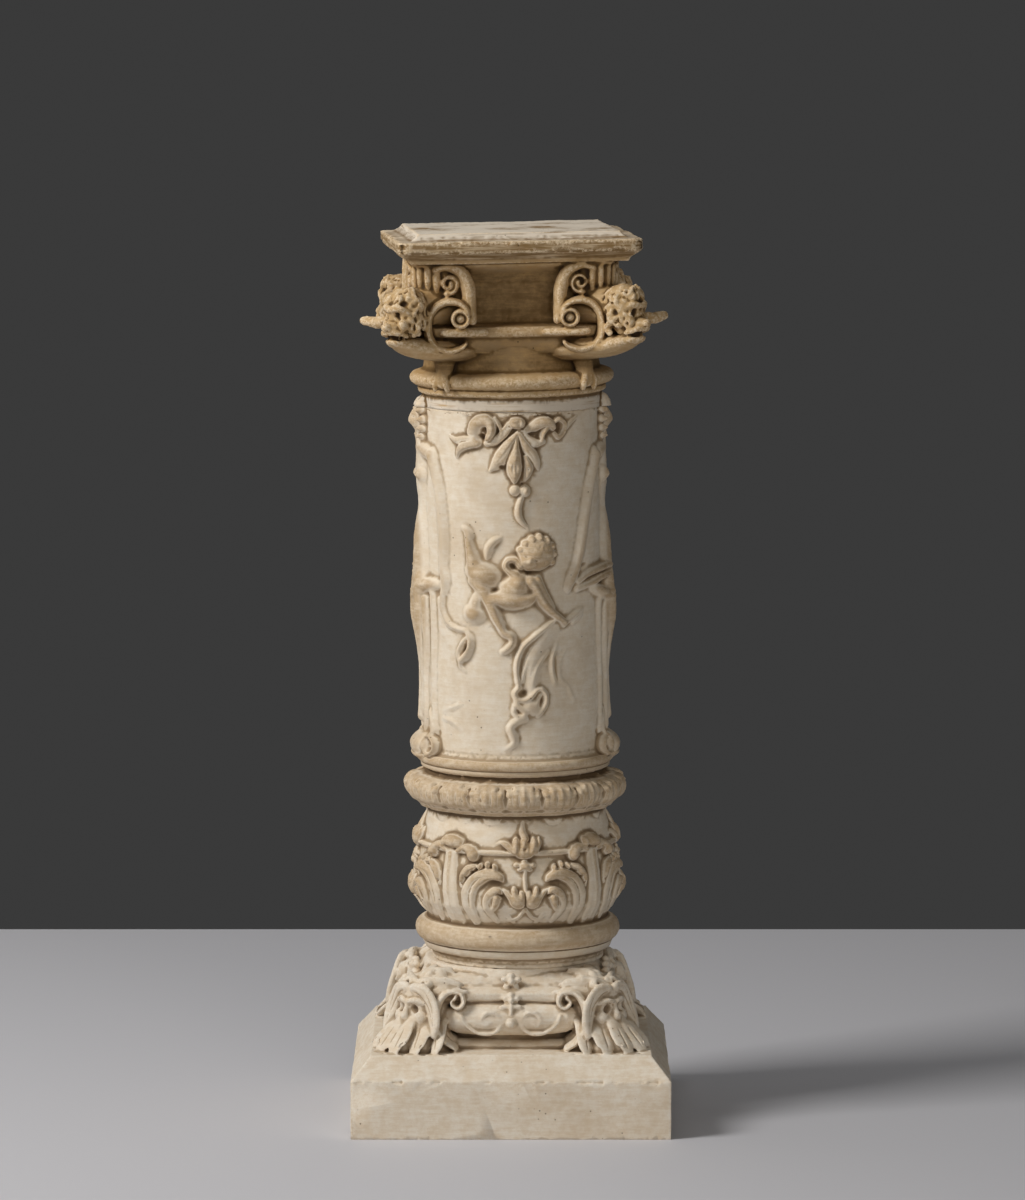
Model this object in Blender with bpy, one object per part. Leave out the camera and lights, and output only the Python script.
"""Plaster table column: a moulded plinth and base, a figured shaft and a horned capital.

Three casts stand on each other. Lengths at the top are in metres. Carving is set out in
millimetres of the model as drawn, and each motif is stretched to the cast that carries it.
"""
import math

import bmesh
import bpy
import numpy as np

# Base cast: a square plinth with a sloped top, and the carved base on it
PLINTH_HALF = 0.1065
PLINTH_HEIGHT = 0.0385
SLOPE_HEIGHT = 0.0160
PLINTH_TOP_HALF = 0.0935
BASE_BODY_HEIGHT = 0.0515

# Shaft cast: foot rings, drum, leaf collar and the figured cylinder
SHAFT_RADIUS = 0.0603
SHAFT_HEIGHT = 0.3740
SHAFT_TAPER = 0.0008
SHAFT_FOOT_SHIFT = 0.0047
SHAFT_LEAN = math.radians(0.78)
SHAFT_TURN = math.radians(4.5)

# Capital cast: neck, ledge, bell, four horned corners and a square slab
CAPITAL_BODY_HEIGHT = 0.1000
CAPITAL_TURN = math.radians(2.5)
CAPITAL_TIP = math.radians(0.8)
CAPITAL_SHIFT = 0.0010
SLAB_HEIGHT = 0.0200
SLAB_HALF = 0.0810
SLAB_TOP_HALF = 0.0670
SLAB_TURN = math.radians(5.5)

# Plaster joints between the casts
JOINT_GAP = 0.0003

# How finely the solids are made
BASE_VOXEL = 0.0015
CAPITAL_VOXEL = 0.0014
BASE_TRIANGLES = 2850
SHAFT_TRIANGLES = 3320
ROUGH_TRIANGLES = 12000
CAPITAL_TRIANGLES = 2900
SHAFT_COLUMNS = 220
SHAFT_ROWS = 230
LEAF_COUNT = 18

# Heights and offsets that follow from the sizes above
PLINTH_TOP = PLINTH_HEIGHT + SLOPE_HEIGHT
SHAFT_BOTTOM = PLINTH_TOP + BASE_BODY_HEIGHT
SHAFT_TOP = SHAFT_BOTTOM + SHAFT_HEIGHT
SLAB_BOTTOM = SHAFT_TOP + CAPITAL_BODY_HEIGHT
CAPITAL_MIDDLE = SHAFT_FOOT_SHIFT - SHAFT_HEIGHT * math.tan(SHAFT_LEAN) + CAPITAL_SHIFT

# The drawing's own sizes, in millimetres
DRAWN_BASE_HALF = 93.5
DRAWN_BASE_HEIGHT = 51.5
DRAWN_SHAFT_RADIUS = 60.3
DRAWN_SHAFT_HEIGHT = 374.0
DRAWN_CAPITAL_HEIGHT = 100.0
DRAWN_SLAB_HALF = 81.0
QUARTER = DRAWN_SHAFT_RADIUS * math.pi / 2
ROUND = 4 * QUARTER

FRONT = -math.pi / 2
SIDES = [FRONT + k * math.pi / 2 for k in range(4)]
CORNERS = [angle + math.pi / 4 for angle in SIDES]


def smooth_path(rows, steps):
    """Points of a Catmull-Rom curve through the rows, with `steps` points to a span."""
    rows = np.array(rows, float)
    ends = np.vstack([2 * rows[0] - rows[1], rows, 2 * rows[-1] - rows[-2]])
    out = []
    for i in range(1, len(ends) - 2):
        a, b, c, d = ends[i - 1:i + 3]
        for t in np.arange(steps) / steps:
            out.append(0.5 * (2 * b + (c - a) * t + (2 * a - 5 * b + 4 * c - d) * t ** 2
                              + (3 * b - a - 3 * c + d) * t ** 3))
    out.append(rows[-1])
    return np.array(out)


def spiral(centre, radius, start, turns, shrink, points=14):
    """Side and height of points on a spiral that winds in, angles in degrees."""
    out = []
    for i in range(points):
        share = i / (points - 1)
        angle = math.radians(start + 360 * turns * share)
        r = radius * (1 - (1 - shrink) * share)
        out.append((centre[0] + r * math.cos(angle), centre[1] + r * math.sin(angle)))
    return out


class Setting:
    """Takes (side, out, up) of a motif, in drawn millimetres, to its place on the column."""

    def __init__(self, angle, foot, wide, tall, centre=0.0, mirror=1):
        self.out = np.array((math.cos(angle), math.sin(angle), 0.0))
        self.side = np.array((-math.sin(angle), math.cos(angle), 0.0)) * mirror
        self.foot, self.wide, self.tall, self.centre = foot, wide, tall, centre

    def place(self, points):
        points = np.atleast_2d(points)
        world = points[:, :1] * self.side * self.wide + points[:, 1:2] * self.out * self.wide
        world[:, 2] = self.foot + points[:, 2] * self.tall
        world[:, 0] += self.centre
        return world


class Clay:
    """Overlapping closed lumps, kept as one list of points and faces."""

    def __init__(self):
        self.points, self.faces, self.count = [], [], 0

    def add(self, points, faces):
        self.points.append(points)
        self.faces += [[i + self.count for i in face] for face in faces]
        self.count += len(points)

    def rings(self, rings):
        """One closed skin over rings of equal length, first and last ring filled in."""
        size = len(rings[0])
        faces = [list(range(size))[::-1]]
        for i in range(len(rings) - 1):
            for j in range(size):
                k = (j + 1) % size
                faces.append([i * size + j, i * size + k, (i + 1) * size + k, (i + 1) * size + j])
        faces.append([(len(rings) - 1) * size + j for j in range(size)])
        self.add(np.vstack(rings), faces)

    def sweep(self, setting, path, facing=(0, 1, 0), sides=10, steps=4):
        """A strand of oval section. Each row of the path is side, out, up, half width and
        half thickness, with the thickness measured along `facing`."""
        rows = smooth_path(path, steps)
        rows[:, 3:] = np.maximum(rows[:, 3:], 0.3)
        spine = rows[:, :3]
        along = np.gradient(spine, axis=0)
        along /= np.linalg.norm(along, axis=1)[:, None] + 1e-9
        normal = np.array(facing, float) - (along @ np.array(facing, float))[:, None] * along
        normal /= np.linalg.norm(normal, axis=1)[:, None] + 1e-9
        across = np.cross(along, normal)
        turn = np.arange(sides) * 2 * math.pi / sides
        rings = []
        for i, scale, shift in self.stations(len(rows)):
            wide, thick = rows[i, 3] * scale, rows[i, 4] * scale
            centre = spine[i] + along[i] * shift * min(rows[i, 3], rows[i, 4])
            ring = (centre + np.outer(np.cos(turn), across[i]) * wide
                    + np.outer(np.sin(turn), normal[i]) * thick)
            rings.append(setting.place(ring))
        self.rings(rings)

    @staticmethod
    def stations(count):
        """Ring number, size and shift along the strand, with round ends added."""
        start = [(0, 0.30, -0.95), (0, 0.75, -0.66)]
        end = [(count - 1, 0.75, 0.66), (count - 1, 0.30, 0.95)]
        return start + [(i, 1.0, 0.0) for i in range(count)] + end

    def ball(self, setting, centre, radii, sides=12):
        """An egg with half sizes along side, out and up."""
        turn = np.arange(sides) * 2 * math.pi / sides
        rings = []
        for latitude in np.linspace(-0.47, 0.47, 7) * math.pi:
            ring = np.column_stack([
                centre[0] + radii[0] * math.cos(latitude) * np.cos(turn),
                centre[1] + radii[1] * math.cos(latitude) * np.sin(turn),
                np.full(sides, centre[2] + radii[2] * math.sin(latitude))])
            rings.append(setting.place(ring))
        self.rings(rings)

    def turned(self, setting, profile, sides=72, out=0.0):
        """A round body from rows of radius and height, its axis `out` from the middle."""
        turn = np.arange(sides) * 2 * math.pi / sides
        self.rings([setting.place(np.column_stack(
            [r * np.cos(turn), out + r * np.sin(turn), np.full(sides, z)])) for r, z in profile])

    def mesh_object(self, name):
        return new_object(name, np.vstack(self.points), self.faces)


class Relief:
    """Height of carving over an unrolled round, on a grid of arc length and height."""

    def __init__(self, arc, height):
        self.arc, self.height = arc, height
        self.raised = np.zeros_like(arc)
        self.origin, self.mirror = 0.0, 1

    def panel(self, origin, mirror=1):
        """Moves the drawing's zero to another place round the shaft."""
        self.origin, self.mirror = origin, mirror

    def local(self):
        turned = (self.arc - self.origin + ROUND / 2) % ROUND - ROUND / 2
        return turned * self.mirror

    def blend(self, value, blend):
        """Lays a raised shape over the carving, with soft creases where they meet."""
        soft = np.clip(np.minimum(blend, 2 * value), 1e-6, None)
        mix = np.clip(0.5 + 0.5 * (value - self.raised) / soft, 0, 1)
        joined = self.raised * (1 - mix) + value * mix + soft * mix * (1 - mix)
        self.raised = np.where(value > 0, joined, self.raised)

    def stroke(self, path, steps=4, blend=0.8, cut=False):
        """A rounded ridge. Each row is side, height, half width and how far it stands up."""
        rows = smooth_path(path, steps)
        side = self.local()
        best = np.zeros_like(side)
        for a, b in zip(rows[:-1], rows[1:]):
            reach = max(a[2], b[2])
            near = ((side > min(a[0], b[0]) - reach) & (side < max(a[0], b[0]) + reach)
                    & (self.height > min(a[1], b[1]) - reach)
                    & (self.height < max(a[1], b[1]) + reach))
            if not near.any():
                continue
            ds, dz = side[near] - a[0], self.height[near] - a[1]
            es, ez = b[0] - a[0], b[1] - a[1]
            t = np.clip((ds * es + dz * ez) / (es * es + ez * ez + 1e-9), 0, 1)
            away = np.hypot(ds - t * es, dz - t * ez) / np.maximum(a[2] + t * (b[2] - a[2]), 0.2)
            tall = a[3] + t * (b[3] - a[3])
            best[near] = np.maximum(best[near], tall * np.sqrt(np.clip(1 - away ** 2, 0, 1)))
        if cut:
            self.raised = self.raised - best
        else:
            self.blend(best, blend)

    def dome(self, side, height, wide, tall, stands, tilt=0.0, blend=0.8):
        """A rounded boss with half sizes along and across, tilted in degrees."""
        ds, dz = self.local() - side, self.height - height
        c, s = math.cos(math.radians(tilt)), math.sin(math.radians(tilt))
        away = ((ds * c + dz * s) / wide) ** 2 + ((dz * c - ds * s) / tall) ** 2
        self.blend(stands * np.sqrt(np.clip(1 - away, 0, 1)), blend)


def new_object(name, points, faces):
    mesh = bpy.data.meshes.new(name)
    mesh.from_pydata([tuple(p) for p in points], [], faces)
    mesh.update()
    made = bpy.data.objects.new(name, mesh)
    bpy.context.scene.collection.objects.link(made)
    return made


def apply_modifiers(made):
    """Swaps the object's mesh for the one that its modifiers give."""
    bpy.context.view_layer.update()
    seen = made.evaluated_get(bpy.context.evaluated_depsgraph_get())
    mesh = bpy.data.meshes.new_from_object(seen)
    made.modifiers.clear()
    made.data = mesh


def fuse(made, voxel, smoothing):
    """Melts overlapping lumps into one skin."""
    melt = made.modifiers.new("melt", "REMESH")
    melt.mode = "VOXEL"
    melt.voxel_size = voxel
    ease = made.modifiers.new("ease", "SMOOTH")
    ease.iterations = smoothing
    apply_modifiers(made)


def thin(made, triangles):
    """Brings a skin down to about so many triangles."""
    made.data.calc_loop_triangles()
    fewer = made.modifiers.new("fewer", "DECIMATE")
    fewer.ratio = min(1.0, triangles / len(made.data.loop_triangles))
    fewer.use_collapse_triangulate = True
    apply_modifiers(made)


def cut_flat(made, height, keep_above):
    """Cuts the body by a level plane and closes it with one flat face."""
    shape = bmesh.new()
    shape.from_mesh(made.data)
    bmesh.ops.bisect_plane(
        shape, geom=shape.verts[:] + shape.edges[:] + shape.faces[:], dist=1e-6,
        plane_co=(0, 0, height), plane_no=(0, 0, 1),
        clear_inner=keep_above, clear_outer=not keep_above)
    rim = [edge for edge in shape.edges if edge.is_boundary]
    bmesh.ops.contextual_create(shape, geom=rim)
    bmesh.ops.triangulate(shape, faces=[f for f in shape.faces if len(f.verts) > 4])
    bmesh.ops.recalc_face_normals(shape, faces=shape.faces[:])
    shape.to_mesh(made.data)
    shape.free()


def keep_largest(made):
    """Drops loose crumbs that are not joined to the main body."""
    shape = bmesh.new()
    shape.from_mesh(made.data)
    left, groups = set(shape.verts), []
    while left:
        group, edge = set(), [left.pop()]
        while edge:
            vertex = edge.pop()
            group.add(vertex)
            for link in vertex.link_edges:
                other = link.other_vert(vertex)
                if other in left:
                    left.remove(other)
                    edge.append(other)
        groups.append(group)
    largest = max(groups, key=len)
    bmesh.ops.delete(shape, geom=[v for g in groups if g is not largest for v in g],
                     context="VERTS")
    shape.to_mesh(made.data)
    shape.free()


def level(made, heights):
    """Puts points that lie a hair off a level face exactly on it."""
    hair = JOINT_GAP / 6
    for vertex in made.data.vertices:
        for height in heights:
            if abs(vertex.co.z - height) < hair:
                vertex.co.z = height


def tip_over(made, middle, foot, angle):
    """Tips the body sideways about a point of its foot, its +X side going up."""
    cos, sin = math.cos(angle), math.sin(angle)
    for vertex in made.data.vertices:
        x, z = vertex.co.x - middle, vertex.co.z - foot
        vertex.co.x = middle + x * cos - z * sin
        vertex.co.z = foot + x * sin + z * cos


def join_solid(made, other):
    """Boolean union, after which the other solid is gone."""
    union = made.modifiers.new("join", "BOOLEAN")
    union.operation = "UNION"
    union.solver = "EXACT"
    union.object = other
    apply_modifiers(made)
    bpy.data.objects.remove(other)


def circle_outline(sides):
    turn = np.arange(sides) * 2 * math.pi / sides
    return np.column_stack([np.cos(turn), np.sin(turn)])


def square_outline(ease, turn=0.0):
    """A square of half width 1 whose corners are eased by three points, or left sharp."""
    points = []
    for corner in range(4):
        for step in (0, 45, 90) if ease else (45,):
            x = 1 - ease + ease * math.cos(math.radians(step))
            y = 1 - ease + ease * math.sin(math.radians(step))
            angle = corner * math.pi / 2 + turn
            points.append((x * math.cos(angle) - y * math.sin(angle),
                           x * math.sin(angle) + y * math.cos(angle)))
    return np.array(points)


def stacked(name, rows, outline, centre=0.0):
    """A moulded block: the outline at each row's half width and height, in metres."""
    clay = Clay()
    clay.rings([np.column_stack([outline * half + (centre, 0), np.full(len(outline), z)])
                for half, z in rows])
    return clay.mesh_object(name)


def drawn_rows(rows, wide, foot, tall):
    """Rows of a drawn profile, in metres on the column."""
    return [(half * wide, foot + z * tall) for half, z in rows]


def plaster(name, colour):
    material = bpy.data.materials.new(name)
    material.use_nodes = True
    shader = material.node_tree.nodes["Principled BSDF"]
    shader.inputs["Base Color"].default_value = (*colour, 1)
    shader.inputs["Roughness"].default_value = 0.85
    shader.inputs["Metallic"].default_value = 0.0
    return material


def finish(made, material):
    made.data.materials.clear()
    made.data.materials.append(material)
    made.data.shade_smooth()
    made.data.set_sharp_from_angle(angle=math.radians(50))


# Base: ledges on a round core, cushions between scrolled corner masks

BASE_CORE = [(64, -6), (64, 29), (61, 38), (59, 46), (57.7, 51.5)]
BASE_LEDGES = [(60, 29), (66, 30), (70.5, 33), (71, 38), (66.5, 40), (62.5, 41), (62, 46.5),
               (56, 49)]


def base_side(clay, side):
    """Cushion, scrolls, ball and rosettes of one side."""
    clay.sweep(side, [(-40, 64, 19.5, 9.0, 9.5), (-20, 67, 19.5, 10.2, 10.5),
                      (20, 67, 19.5, 10.2, 10.5), (40, 64, 19.5, 9.0, 9.5)], sides=14)
    clay.sweep(side, [(-58, 60, 1.5, 4, 8), (0, 62, 1.5, 4, 8), (58, 60, 1.5, 4, 8)])
    clay.ball(side, (0, 79, 18.5), (3.8, 3.4, 3.8), sides=10)
    clay.sweep(side, [(0, 75, 29, 1.8, 3.0), (0, 77, 24, 1.2, 2.5)])
    clay.sweep(side, [(-6, 74.5, 29, 1.6, 2.6), (6, 74.5, 29, 1.6, 2.6)])
    for height, out, size in ((45, 66, 6.5), (33, 73, 5.5)):
        clay.ball(side, (0, out, height), (size * 0.6, 4.5, size * 0.6), sides=8)
        for petal in range(5):
            angle = math.radians(90 + 72 * petal)
            clay.ball(side, (size * 0.8 * math.cos(angle), out - 1,
                             height + size * 0.75 * math.sin(angle)),
                      (size * 0.5, 3.6, size * 0.45), sides=8)


def base_half_side(clay, side):
    """What is mirrored about the middle of a side: the strap and the cushion's scroll."""
    strap = [(-40, 2, 2.3), (-48, 10, 2.3), (-50.5, 22, 2.2), (-47, 32, 2.2), (-39, 37, 2.1),
             (-31, 34.5, 2.0), (-28.5, 28, 1.9), (-32, 23.5, 1.8), (-36.5, 27, 1.8)]
    clay.sweep(side, [(s, 72, z, w, 9.5) for s, z, w in strap], steps=5)
    scroll = [(-33, 78.0, 23), (-30, 77.5, 17), (-22, 78.0, 11.5), (-12, 78.2, 11.5),
              (-6.5, 78.2, 17), (-9, 78, 24), (-16, 78, 25.5), (-20, 78, 20.5),
              (-17.5, 78, 16.5), (-14, 78, 18.5)]
    clay.sweep(side, [(s, o, z, 1.35, 1.5) for s, o, z in scroll], steps=4, sides=8)


def base_corner(clay, corner):
    """A bearded leaf mask that stands on the plinth's corner, with a scrolled crown."""
    clay.sweep(corner, [(0, 66, 0, 26, 18), (0, 72, 14, 23, 18), (0, 74, 30, 21, 17),
                        (0, 72, 46, 16, 12)], sides=16)
    clay.ball(corner, (0, 88, 24), (16.5, 13, 19))
    clay.ball(corner, (0, 90, 36), (14, 10, 9))
    clay.sweep(corner, [(0, 98.5, 31, 2.2, 2.0), (0, 102.5, 24, 2.6, 2.6),
                        (0, 103, 21, 3.6, 2.6)])
    clay.ball(corner, (0, 98, 14.5), (5, 4, 2.4))
    clay.ball(corner, (0, 98, 10.0), (5.5, 4.5, 3.6))


def base_half_corner(clay, corner):
    """What is mirrored about a corner's diagonal: cheek, brow, beard, hair and crown."""
    clay.ball(corner, (7.5, 96, 20), (5.5, 5.5, 5.0))
    clay.sweep(corner, [(2, 100.5, 31, 2.6, 2.4), (8, 98.5, 33, 2.6, 2.4),
                        (14, 93, 29, 2.0, 2.4)])
    for foot, out, width in ((4.5, 108, 4.0), (13, 106, 4.2), (22, 100, 4.4), (31, 91, 4.0)):
        clay.sweep(corner, [(foot * 0.45, 95 - foot * 0.15, 18, 3.2, 4.0),
                            (foot * 0.75, out - 6, 10, width, 4.5),
                            (foot, out, 1.5, width * 0.9, 3.4)])
    clay.sweep(corner, [(4, 96, 42, 3.4, 3.5), (15, 93, 39, 4.2, 4.0), (21, 87, 28, 4.4, 4.5),
                        (22.5, 86, 14, 4.4, 5.0), (28, 88, 3, 3.6, 4.5)])
    clay.sweep(corner, [(10, 88, 44, 4.5, 3.5), (21, 82, 38, 4.5, 4.0), (27, 77, 26, 4.0, 4.0),
                        (27, 76, 12, 4.0, 4.0)])
    crown = spiral((9.0, 52.0), 6.0, 200, 1.2, 0.35, points=9)
    clay.sweep(corner, [(s, 87 - 0.35 * (z - 46), z, 2.6, 4.5) for s, z in crown], steps=3)
    clay.sweep(corner, [(3, 92, 44, 4.5, 4.0), (13, 86, 47, 4.5, 3.5), (24, 77, 49, 4.0, 3.0),
                        (33, 67, 53, 3.0, 3.0), (36, 64, 49, 2.0, 2.4)])
    clay.sweep(corner, [(0, 84, 50, 6, 4.5), (2, 79, 56, 6, 4.0), (5, 72, 60, 5, 3.5)])


def build_base():
    wide, tall = PLINTH_TOP_HALF / DRAWN_BASE_HALF, BASE_BODY_HEIGHT / DRAWN_BASE_HEIGHT
    clay = Clay()
    for angle in SIDES:
        base_side(clay, Setting(angle, PLINTH_TOP, wide, tall))
        for mirror in (1, -1):
            base_half_side(clay, Setting(angle, PLINTH_TOP, wide, tall, mirror=mirror))
    for angle in CORNERS:
        base_corner(clay, Setting(angle, PLINTH_TOP, wide, tall))
        for mirror in (1, -1):
            base_half_corner(clay, Setting(angle, PLINTH_TOP, wide, tall, mirror=mirror))
    made = clay.mesh_object("base")
    fuse(made, BASE_VOXEL, 3)
    thin(made, ROUGH_TRIANGLES)
    cut_flat(made, SHAFT_BOTTOM, keep_above=False)
    cut_flat(made, PLINTH_TOP - SLOPE_HEIGHT / 2, keep_above=True)
    join_solid(made, stacked("ledges", drawn_rows(BASE_LEDGES, wide, PLINTH_TOP, tall),
                             square_outline(0.25)))
    join_solid(made, stacked("core", drawn_rows(BASE_CORE, wide, PLINTH_TOP, tall),
                             circle_outline(36)))
    thin(made, BASE_TRIANGLES)
    level(made, (SHAFT_BOTTOM,))
    join_solid(made, stacked("plinth_block", [
        (PLINTH_HALF, 0.0), (PLINTH_HALF, PLINTH_HEIGHT), (PLINTH_TOP_HALF, PLINTH_TOP)],
        square_outline(0)))
    keep_largest(made)
    return made


# Shaft: a grid wound round the axis, raised by the relief drawn on it

def shaft_profile():
    """Rows of height and radius of the turned shaft, in drawn millimetres from its foot."""
    rows = [(-3, 57.7), (3, 57.7), (6.5, 59.4), (7.5, 62.5), (10, 63.5), (12, 64.5)]
    rows += [(20 + 7.5 * math.sin(math.radians(a)), 62.5 + 6.7 * math.cos(math.radians(a)))
             for a in range(-90, 91, 15)]
    rows += [(28.5, 60.8), (31, 61.2), (34, 63.2), (42, 67.6), (52, 69.0), (64, 68.0),
             (78, 65.4), (92, 62.4), (100, 60.0), (103.5, 59.6), (104.5, 64.2), (107.5, 65.8)]
    rows += [(117 + 8.6 * math.sin(math.radians(a)), 65.3 + 7.0 * math.cos(math.radians(a)))
             for a in range(-75, 91, 15)]
    rows += [(127, 59.8), (129, 59.6), (131, 63.8), (133, 64.2)]
    rows += [(137.3 + 3.3 * math.sin(math.radians(a)), 63.4 + 3.2 * math.cos(math.radians(a)))
             for a in range(-90, 91, 30)]
    rows += [(142, 62.4), (145, 61.2), (190, 61.1), (348, 59.8), (377, 59.7)]
    return rows


def flower_column(relief):
    """Stem, two flower cups and the cord ties on the drum, drawn about height 156."""
    relief.stroke([(1, 96, 1.8, 2.5), (1, 90, 2.2, 4), (1, 84, 2.6, 4.5)])
    for lobe in (-6, 0, 6):
        relief.stroke([(0.3 * lobe, 80, 2.4, 5.0), (0.9 * lobe, 87, 2.6, 6.0),
                       (1.5 * lobe, 90 - abs(lobe) * 0.3, 1.8, 4.5)])
        relief.stroke([(0.2 * lobe, 42, 2.6, 4.0), (0.8 * lobe, 49, 3.0, 5.5),
                       (1.6 * lobe, 54 - abs(lobe) * 0.2, 2.0, 4.0)])
    relief.dome(0, 73, 3.6, 4.2, 4.0)
    relief.stroke([(0, 70, 1.0, 2.2), (0.5, 56, 1.0, 2.2)])
    for way in (-1, 1):
        relief.stroke([(0, 42, 1.4, 2.6), (way * 4, 37, 1.6, 2.4), (way * 9, 33, 2.0, 2.0)])


def acanthus(relief):
    """Upright leaf with lobes on both sides of a middle stem."""
    relief.stroke([(0, 33, 5.5, 2.2), (0, 50, 6.5, 3.0), (0, 68, 6.5, 3.6), (0, 80, 6.0, 4.0)])
    relief.stroke([(0, 34, 1.6, 3.6), (0, 60, 1.6, 4.4), (0, 76, 1.4, 4.4)])
    relief.stroke([(-4, 84, 4.0, 5.0), (0, 87, 4.4, 6.2), (4, 84, 4.0, 5.0)])
    for way in (-1, 1):
        relief.stroke([(way * 2, 72, 3.0, 3.5), (way * 9, 78, 3.6, 5.0), (way * 14, 77, 3.0, 4.5),
                       (way * 16, 72, 2.0, 3.0)])
        relief.stroke([(way * 2, 58, 3.0, 3.2), (way * 9, 68, 3.4, 4.2), (way * 14, 66, 2.8, 3.6),
                       (way * 15, 60, 2.0, 2.2)])
        relief.stroke([(way * 2, 44, 2.6, 2.6), (way * 7, 54, 3.0, 3.4), (way * 10, 50, 2.2, 2.6)])
        curl = [(way * 11, 35, 2.0, 2.0), (way * 13, 50, 2.4, 3.0), (way * 19, 63, 2.8, 4.4),
                (way * 27, 70, 3.2, 5.2), (way * 33, 66, 2.6, 4.4), (way * 32, 61, 1.8, 3.0)]
        relief.stroke(curl)
        relief.stroke([(way * 26, 34, 1.6, 2.0), (way * 24, 45, 2.0, 2.8),
                       (way * 28, 53, 2.6, 4.0), (way * 32, 51, 2.0, 3.4)])
        relief.stroke([(way * 17, 34, 1.4, 1.8), (way * 17, 44, 1.6, 2.2), (way * 20, 52, 1.4, 1.8)])


def collar_leaves(relief):
    """Overlapping leaves laid over the fat ring above the drum."""
    for leaf in range(LEAF_COUNT):
        relief.panel(leaf * ROUND / LEAF_COUNT)
        relief.stroke([(0, 106, 5.0, 0.8), (0, 116, 6.6, 2.2), (0, 124, 6.0, 2.8),
                       (0, 129, 3.0, 2.6)], blend=0.3)
        relief.stroke([(0, 107, 1.0, 1.6), (0, 126, 1.0, 3.4)])
        for way in (-1, 1):
            relief.stroke([(way * 1.5, 109, 1.6, 1.6), (way * 4.6, 118, 1.8, 2.6),
                           (way * 4.8, 123, 1.6, 2.0)], blend=0.3)


def festoon(relief):
    """Knotted ribbon with a hanging bell flower, two berries and a drop."""
    relief.dome(1.3, 367.7, 4.7, 4.2, 5.0)
    relief.stroke([(-0.7, 360, 2.6, 4.0), (-9, 353, 3.6, 4.4), (-17.7, 351.3, 3.6, 4.2),
                   (-22.4, 354, 2.0, 3.4)])
    relief.stroke([(-30.2, 362.7, 4.2, 4.4), (-22.2, 367.6, 5.2, 5.0), (-15.6, 362, 4.4, 5.0),
                   (-18.6, 354.6, 3.0, 4.0)])
    relief.stroke([(-28.3, 355.2, 4.5, 4.0), (-37.8, 350.2, 3.6, 3.4), (-45.9, 344.2, 1.4, 1.8)])
    relief.stroke([(-34, 356, 2.4, 3.0), (-43.3, 353.7, 2.6, 2.6), (-50.6, 356, 0.9, 1.4)])
    relief.stroke([(3.9, 355.6, 2.8, 4.0), (11.5, 352.6, 3.2, 4.2), (19.4, 354.3, 2.8, 4.0)])
    relief.stroke([(13.6, 362.8, 4.5, 4.6), (21.7, 365.4, 5.0, 5.0), (28, 363.2, 3.6, 4.4),
                   (29, 357.6, 2.0, 3.4)])
    relief.stroke([(34.9, 362, 3.6, 4.0), (41.3, 371, 2.0, 2.2)])
    relief.stroke([(-0.7, 358.4, 2.0, 4.0), (-6.5, 347.2, 4.6, 4.8), (-14.1, 340.6, 4.6, 4.2),
                   (-18.4, 336.4, 2.2, 2.6)])
    relief.stroke([(1.1, 355.6, 2.0, 4.0), (8.5, 348, 5.0, 4.8), (13.3, 341.4, 4.5, 4.2),
                   (14.2, 336.7, 2.2, 2.6)])
    relief.stroke([(-0.9, 349.1, 2.0, 4.5), (-2, 337.9, 5.4, 6.2), (-2.1, 331.3, 4.6, 5.6),
                   (-1.2, 327.6, 1.6, 3.4)])
    relief.stroke([(3.7, 341.6, 2.8, 4.4), (7.9, 335, 3.6, 4.6), (5.4, 329.4, 1.9, 3.0)])
    relief.dome(-2.2, 322.5, 3.6, 3.6, 4.0)
    relief.dome(4.3, 321.9, 3.9, 3.9, 4.2)
    relief.stroke([(2.8, 314.5, 2.8, 3.6), (2.2, 307, 2.8, 3.4), (3.5, 301.4, 2.1, 2.6),
                   (5.8, 297.1, 0.8, 1.2)])


def flying_child(relief):
    """A winged child that leans forward to take hold of the hanging cloth."""
    relief.stroke([(-12.9, 290.9, 1.6, 1.8), (-19.2, 286.5, 3.4, 3.2), (-23.2, 281.1, 3.2, 3.2),
                   (-22.5, 275.7, 1.6, 2.4)])
    relief.stroke([(-39.9, 295.7, 2.3, 2.6), (-38.7, 288.8, 2.6, 3.2), (-35, 274.4, 4.2, 4.6),
                   (-28, 264, 6.5, 6.2)])
    relief.stroke([(-29, 264.5, 8.0, 6.2), (-18.9, 257.8, 9.8, 7.2), (-4.3, 256.3, 10.2, 7.4),
                   (8, 258, 8.0, 7.0)])
    relief.stroke([(-15, 249.5, 5.6, 5.6), (-4.5, 246.5, 5.6, 6.0), (7, 249.5, 5.4, 5.8)])
    relief.dome(-1.5, 261, 7.0, 6.5, 8.0, tilt=20)
    relief.stroke([(-2, 264, 4.6, 6.8), (-6.5, 273, 3.6, 5.6), (-10.2, 272.1, 3.0, 4.8)])
    relief.stroke([(12, 259, 6.0, 6.6), (13.5, 250, 4.6, 6.0), (20.7, 241.6, 3.8, 5.2),
                   (29.4, 234.9, 3.2, 4.6), (34.5, 231.5, 3.8, 4.4)])
    relief.dome(14.7, 280.5, 12.5, 11.5, 8.6, tilt=-10)
    relief.dome(10.7, 275.5, 8.4, 8.0, 9.4)
    relief.stroke([(-24.5, 251.8, 6.9, 5.6), (-19.2, 241.2, 5.4, 5.0), (-13.1, 229.8, 4.0, 4.2)])
    relief.stroke([(-9.5, 227, 3.6, 4.0), (-7.9, 221.4, 3.4, 3.8), (-13.4, 216, 3.2, 3.4)])
    relief.dome(-32.2, 238.2, 7.0, 6.6, 4.6)


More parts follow.
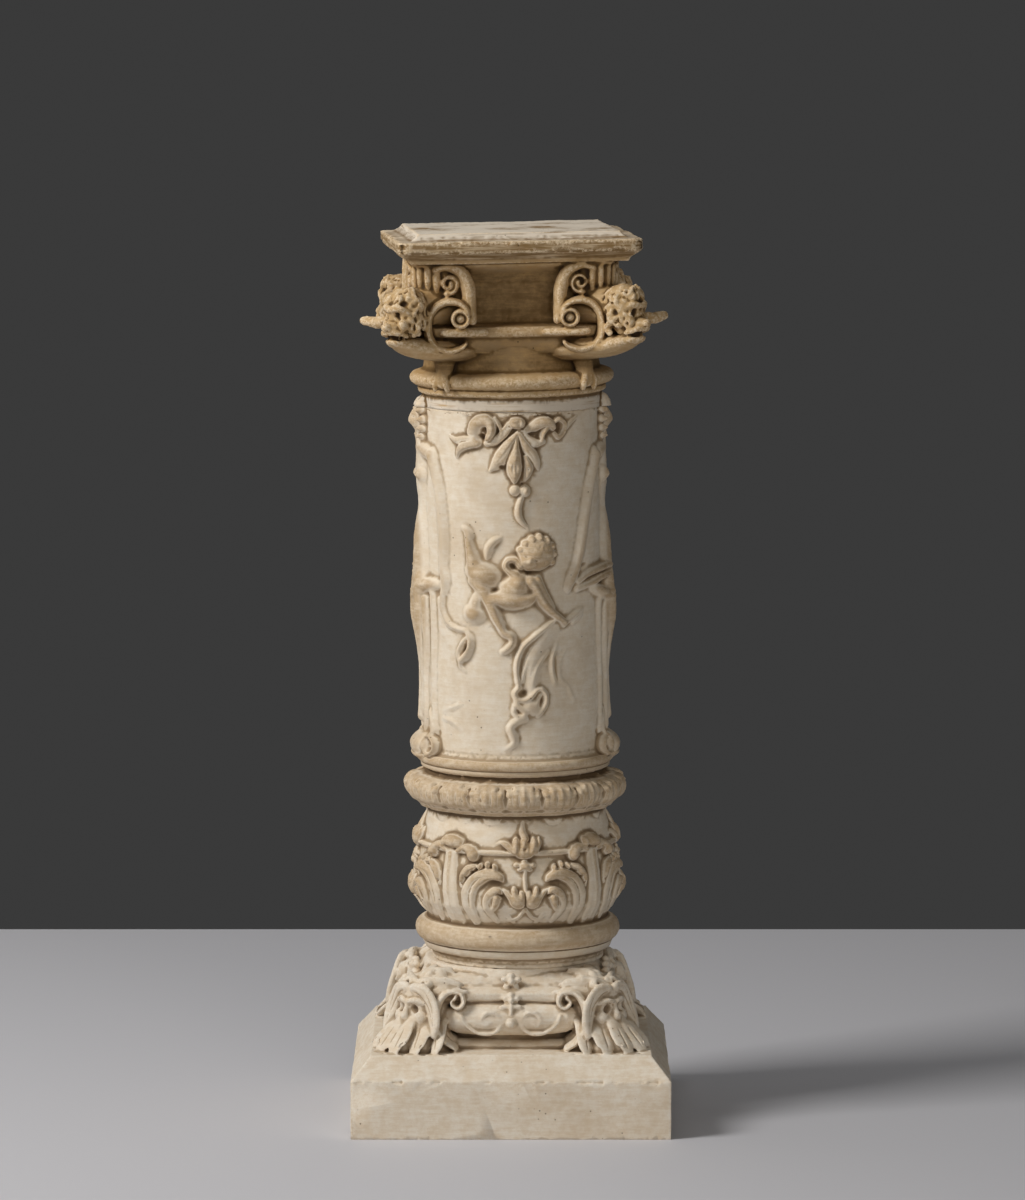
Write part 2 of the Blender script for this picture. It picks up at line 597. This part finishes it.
def hanging_cloth(relief):
    """Cloth that falls from the hands of the standing figures, left and right of a panel."""
    relief.stroke([(-57, 250, 2.4, 3.0), (-58.8, 240, 2.2, 2.8), (-53, 230.3, 2.0, 2.6),
                   (-42, 227, 2.0, 2.6), (-38.8, 221, 2.6, 3.0), (-41.4, 214, 3.6, 3.6),
                   (-46.4, 206.9, 2.4, 2.6), (-41.2, 199.6, 0.9, 1.2)])
    relief.stroke([(-52.6, 222, 1.6, 1.4), (-51.8, 195, 1.6, 1.2), (-57.8, 181, 1.4, 1.0)])
    relief.stroke([(-64.6, 169.6, 1.4, 1.4), (-53.4, 173.1, 1.6, 1.4), (-42.1, 177.9, 1.0, 0.8)])
    relief.stroke([(-67.7, 164.6, 1.6, 1.4), (-57.1, 163.4, 1.8, 1.6), (-46.4, 159, 1.0, 0.8)])
    relief.stroke([(33, 230.5, 2.4, 3.4), (19, 228.8, 2.2, 3.0), (4.4, 221.6, 2.4, 3.0),
                   (-1.2, 209.4, 2.4, 3.0), (-3, 197, 2.4, 3.0), (-2.6, 188, 2.4, 3.2)])
    relief.stroke([(-2.9, 185.5, 2.8, 3.6), (1.4, 182, 3.0, 4.0), (8.7, 185.3, 3.0, 4.2),
                   (14.7, 189.7, 2.0, 3.2)])
    relief.stroke([(14, 190, 2.0, 3.0), (18.3, 183.4, 2.4, 3.4), (15.7, 175.8, 2.4, 3.0),
                   (10.8, 169.8, 1.2, 2.0)])
    relief.stroke([(-4.6, 175.5, 3.2, 3.2), (0.7, 171.6, 3.2, 3.6), (-7.4, 165, 3.2, 3.2),
                   (-4.9, 157, 3.0, 2.8), (-10.4, 149.2, 1.4, 1.4)])
    for start, middle, end in (((27.5, 217.5), (21.6, 202.5), (25.3, 191.5)),
                               ((11.5, 213.7), (3.5, 201.6), (1.8, 193.9)),
                               ((18.7, 210.3), (10.5, 199.9), (8.8, 192.2))):
        relief.stroke([(*start, 1.4, 1.2), (*middle, 2.0, 2.0), (*end, 1.8, 2.2)])
    relief.stroke([(38.4, 187.4, 1.2, 1.0), (42.5, 179.3, 1.6, 1.4)])
    relief.stroke([(33, 232.5, 3.0, 3.8), (41.2, 233.3, 2.8, 3.4), (57.7, 238.7, 2.8, 3.6),
                   (72, 244, 2.4, 3.4)])


def standing_figure(relief):
    """A cloth-wrapped woman who ends in a scroll, drawn about her own middle line."""
    relief.stroke([(0, 344, 16, 4.6), (0, 328, 15.5, 4.8), (0, 308, 12.5, 3.2),
                   (0, 286, 17, 6.6), (0, 258, 20, 7.6)], blend=2)
    relief.stroke([(-21, 344, 6.0, 4.6), (0, 347, 6.5, 4.4), (21, 344, 6.0, 4.6)], blend=2)
    relief.stroke([(0, 344, 5.0, 4.0), (0, 357, 5.0, 4.4)])
    relief.dome(0, 368, 10.5, 14.5, 7.6)
    relief.stroke([(-9, 358, 3.5, 4.2), (-11.5, 370, 4.0, 5.2), (-5, 381, 4.0, 6.4),
                   (5, 381, 4.0, 6.4), (11.5, 370, 4.0, 5.2), (9, 358, 3.5, 4.2)])
    for way in (-1, 1):
        relief.dome(way * 8.2, 329, 7.4, 7.4, 6.6)
        relief.stroke([(way * 27, 340, 5.0, 4.6), (way * 29, 328, 4.6, 4.4),
                       (way * 33, 312, 4.2, 4.2), (way * 35, 296, 4.0, 4.0),
                       (way * 38, 279, 3.4, 3.8), (way * 38.5, 263, 3.4, 3.8),
                       (way * 37.5, 254, 4.2, 4.0)])
    relief.stroke([(-8, 258, 11, 8.2), (-9.5, 236, 10, 9.6), (-7, 214, 8, 5.6),
                   (-4, 188, 7, 2.6), (-2, 172, 9, 3.0)], blend=1.6)
    relief.stroke([(8.5, 258, 11, 8.0), (9, 238, 9.5, 8.2), (7, 214, 7.5, 5.0),
                   (4, 188, 7, 2.4), (2, 172, 9, 3.0)], blend=1.6)
    relief.stroke([(-34, 252, 3.0, 4.0), (-17, 244, 4.0, 8.6), (2, 248, 4.0, 9.6),
                   (18, 256, 4.0, 8.6), (35, 253, 3.0, 4.0)])
    for way in (-1, 1):
        relief.stroke([(way * 18, 246, 3.0, 5.0), (way * 17, 220, 3.0, 3.6),
                       (way * 12, 192, 2.6, 2.6), (way * 13, 170, 3.0, 3.0),
                       (way * 11, 158, 3.0, 3.0)])
    relief.stroke([(0, 232, 2.0, 8.6), (0, 205, 2.0, 4.6), (0, 176, 2.4, 4.6), (0, 164, 5, 5)])
    relief.stroke([(-12, 146.3, 9.8, 10.2), (12, 146.3, 9.8, 10.2)], steps=1, blend=2)


def shaft_relief(arc, height):
    relief = Relief(arc, height)
    collar_leaves(relief)
    for quarter in range(4):
        relief.panel(quarter * QUARTER)
        flower_column(relief)
        relief.panel((quarter + 0.5) * QUARTER)
        acanthus(relief)
    relief.panel(0)
    relief.stroke([(-ROUND / 2, 81.5, 1.7, 2.6), (ROUND / 2, 81.5, 1.7, 2.6)], steps=1)
    for half in range(2):
        relief.panel((2 * half + 1) * QUARTER)
        standing_figure(relief)
        relief.panel(2 * half * QUARTER)
        festoon(relief)
        flying_child(relief)
        hanging_cloth(relief)
    return relief.raised


def build_shaft():
    profile = np.array(shaft_profile())
    heights = np.linspace(profile[0, 0], profile[-1, 0], SHAFT_ROWS)
    turn = np.arange(SHAFT_COLUMNS) * 2 * math.pi / SHAFT_COLUMNS
    arc, height = np.meshgrid(turn * DRAWN_SHAFT_RADIUS, heights)
    drawn = np.interp(height, profile[:, 0], profile[:, 1]) + shaft_relief(arc, height)
    taper = SHAFT_TAPER * height / DRAWN_SHAFT_HEIGHT
    radius = drawn * SHAFT_RADIUS / DRAWN_SHAFT_RADIUS - taper
    rise = height * SHAFT_HEIGHT / DRAWN_SHAFT_HEIGHT
    angle = turn[None, :] + FRONT + SHAFT_TURN
    x = radius * np.cos(angle) + SHAFT_FOOT_SHIFT - rise * math.tan(SHAFT_LEAN)
    points = np.stack([x, radius * np.sin(angle), rise + SHAFT_BOTTOM], axis=-1)
    clay = Clay()
    clay.rings(list(points))
    made = clay.mesh_object("shaft")
    thin(made, SHAFT_TRIANGLES)
    cut_flat(made, SHAFT_BOTTOM + JOINT_GAP, keep_above=True)
    cut_flat(made, SHAFT_TOP, keep_above=False)
    return made


# Capital: a round neck, a square ledge and bell, horned corners and the slab

CAPITAL_NECK = [(59.7, -6), (59.7, 9.5), (63.0, 11.0), (63.4, 13.5), (62.4, 15.0)]
CAPITAL_NECK += [(62.6 + 6.2 * math.cos(math.radians(a)), 20.2 + 5.0 * math.sin(math.radians(a)))
                 for a in range(-75, 76, 25)]
CAPITAL_NECK += [(59.5, 26.5), (58.6, 32), (59.2, 43), (50, 49)]
CAPITAL_BELL = [(50, 37), (57, 40), (59.5, 45), (60.5, 50), (63.5, 51.3), (64, 54), (63, 57),
                (46.5, 58.5), (45, 66), (46, 76), (50, 86), (56, 92), (62, 95.5), (67, 98),
                (69, 101), (69, 105)]


def capital_half_side(clay, side):
    """Two scrolls and the strap that runs under the ledge, mirrored about the middle."""
    upper = spiral((-45.0, 87.5), 8.8, 250, 1.6, 0.18, points=15)
    clay.sweep(side, [(s, 70, z, 1.5, 7.0) for s, z in upper], steps=2, sides=8)
    clay.ball(side, (-45, 70, 87.5), (10.5, 5.0, 10.5))
    clay.sweep(side, [(-56, 70, 95, 3.0, 8.0), (-44, 70, 98.5, 3.2, 8.0),
                      (-33.5, 69, 94, 3.4, 8.0), (-29, 68, 84, 3.6, 7.5),
                      (-28, 67, 72, 3.0, 7.0), (-27, 66, 62, 2.2, 6.5)])
    lower = spiral((-35.5, 63.0), 7.6, 60, -1.5, 0.15, points=13)
    clay.sweep(side, [(s, 68, z, 1.4, 7.5) for s, z in lower], steps=2, sides=8)
    clay.ball(side, (-35.5, 67, 63), (3.2, 6.0, 3.2), sides=8)
    strap = [(-28.5, 65.0, 2.0), (-33, 71, 2.0), (-42, 73.5, 2.0), (-51, 70.5, 2.0),
             (-57.5, 63, 2.0), (-58.5, 53, 2.0), (-53, 45.5, 2.0), (-43, 42.5, 2.0),
             (-34, 44, 1.8)]
    clay.sweep(side, [(s, 66, z, w, 9.0) for s, z, w in strap])


def capital_corner(clay, corner):
    """Grotesque head on a smooth bracket, a ribbed shell above and a drop below."""
    clay.sweep(corner, [(0, 40, 40, 24, 9), (0, 70, 42, 21, 7), (0, 95, 45, 15, 5.5),
                        (0, 114, 50, 7, 3.0)], facing=(0, 0, 1), sides=14)
    clay.sweep(corner, [(0, 50, 74, 18, 22), (0, 78, 74, 17, 20), (0, 96, 68, 13, 16)],
               facing=(0, 0, 1), sides=14)
    clay.ball(corner, (0, 104, 67), (14.5, 14.5, 17))
    clay.ball(corner, (0, 116, 56.5), (8.0, 8.5, 6.5))
    clay.ball(corner, (0, 123, 57.5), (4.2, 3.4, 3.4), sides=8)
    clay.ball(corner, (0, 115, 50.5), (6.0, 6.5, 3.0), sides=8)
    clay.sweep(corner, [(0, 111, 76, 4, 3.5), (0, 118, 70, 2.6, 3.0), (0, 121, 61, 2.4, 2.4)])
    for rib in range(-3, 4):
        angle = math.radians(rib * 24)
        s, o = math.sin(angle), math.cos(angle)
        clay.sweep(corner, [(11 * s, 80 + 11 * o, 80, 2.0, 2.2), (14 * s, 80 + 14 * o, 89, 2.3, 2.6),
                            (15.5 * s, 80 + 16 * o, 97, 2.6, 2.6)], facing=(s, o, 0), sides=8)
    clay.turned(corner, [(10, 78), (11.5, 88), (13.5, 98), (13.5, 106)], sides=24, out=80)
    clay.sweep(corner, [(0, 62, 46, 8, 7), (0, 64, 36, 7, 7), (0, 66, 28, 6, 6),
                        (0, 68, 18, 4.5, 4.5), (0, 66, 12, 2.5, 3)], sides=12)


def capital_half_corner(clay, corner):
    """Ear, brow, cheek and curls of a head, and the paw at the drop's foot."""
    clay.sweep(corner, [(11, 103, 62, 5.0, 4.0), (20, 104, 60.5, 5.4, 3.2),
                        (29, 105, 60, 4.2, 2.6), (37, 106, 59.5, 2.0, 1.8)])
    clay.sweep(corner, [(2, 118, 70, 3.0, 3.0), (8, 116, 71, 3.2, 3.0), (13, 109, 67, 2.4, 2.6)])
    clay.ball(corner, (8.5, 113.5, 59.5), (5.0, 5.0, 5.5), sides=8)
    curls = [(4, 108, 83), (11, 103, 82), (15, 96, 78), (8, 94, 87), (16, 92, 70), (3, 98, 88),
             (13, 108, 76), (17, 99, 68), (5, 114, 78)]
    for s, o, z in curls:
        clay.ball(corner, (s, o, z), (4.6, 4.6, 4.2), sides=8)
    clay.sweep(corner, [(10, 98, 56, 5, 6), (14, 92, 50, 4.5, 5), (16, 84, 46, 3, 4)])
    clay.sweep(corner, [(3, 70, 26, 2.6, 3), (6, 71.5, 19, 2.6, 3), (6.5, 70, 13, 2.0, 2.4)])


def figure_brow(clay, side):
    """The top of a standing figure's head, above the joint with the shaft."""
    clay.ball(side, (0, 59.5, -6), (10.5, 7.8, 14.5))
    for way in (-1, 1):
        clay.ball(side, (way * 6.5, 59.5, -1), (6.5, 7.2, 9.5))


def build_capital():
    wide, tall = SLAB_HALF / DRAWN_SLAB_HALF, CAPITAL_BODY_HEIGHT / DRAWN_CAPITAL_HEIGHT
    place = dict(foot=SHAFT_TOP, wide=wide, tall=tall, centre=CAPITAL_MIDDLE)
    clay = Clay()
    for angle in SIDES:
        for mirror in (1, -1):
            capital_half_side(clay, Setting(angle + CAPITAL_TURN, mirror=mirror, **place))
    for angle in CORNERS:
        capital_corner(clay, Setting(angle + CAPITAL_TURN, **place))
        for mirror in (1, -1):
            capital_half_corner(clay, Setting(angle + CAPITAL_TURN, mirror=mirror, **place))
    for half in (0, 1):
        figure_brow(clay, Setting(half * math.pi + SHAFT_TURN, **place))
    made = clay.mesh_object("capital")
    fuse(made, CAPITAL_VOXEL, 2)
    thin(made, ROUGH_TRIANGLES)
    cut_flat(made, SLAB_BOTTOM + SLAB_HEIGHT / 3, keep_above=False)
    neck = drawn_rows(CAPITAL_NECK, SHAFT_RADIUS / DRAWN_SHAFT_RADIUS, SHAFT_TOP, tall)
    join_solid(made, stacked("neck", neck, circle_outline(48), CAPITAL_MIDDLE))
    bell = drawn_rows(CAPITAL_BELL, wide, SHAFT_TOP, tall)
    join_solid(made, stacked("bell", bell, square_outline(0.12, CAPITAL_TURN), CAPITAL_MIDDLE))
    thin(made, CAPITAL_TRIANGLES)
    step = SLAB_HEIGHT / 20
    slab = [(SLAB_HALF - 9 * step, 0), (SLAB_HALF - 7.5 * step, 3), (SLAB_HALF - 2 * step, 6.5),
            (SLAB_HALF, 7.5), (SLAB_HALF, 15), (SLAB_TOP_HALF + 5 * step, 15.5),
            (SLAB_TOP_HALF + 1.5 * step, 17.5), (SLAB_TOP_HALF, 20)]
    join_solid(made, stacked("slab", [(half, SLAB_BOTTOM + z * step) for half, z in slab],
                             square_outline(0, SLAB_TURN), CAPITAL_MIDDLE))
    tip_over(made, CAPITAL_MIDDLE, SHAFT_TOP, CAPITAL_TIP)
    cut_flat(made, SHAFT_TOP + JOINT_GAP, keep_above=True)
    keep_largest(made)
    return made


def main():
    for old in list(bpy.data.objects):
        bpy.data.objects.remove(old)
    finish(build_base(), plaster("plaster_base", (0.66, 0.58, 0.46)))
    finish(build_shaft(), plaster("plaster_shaft", (0.70, 0.63, 0.52)))
    finish(build_capital(), plaster("plaster_capital", (0.52, 0.43, 0.30)))


main()
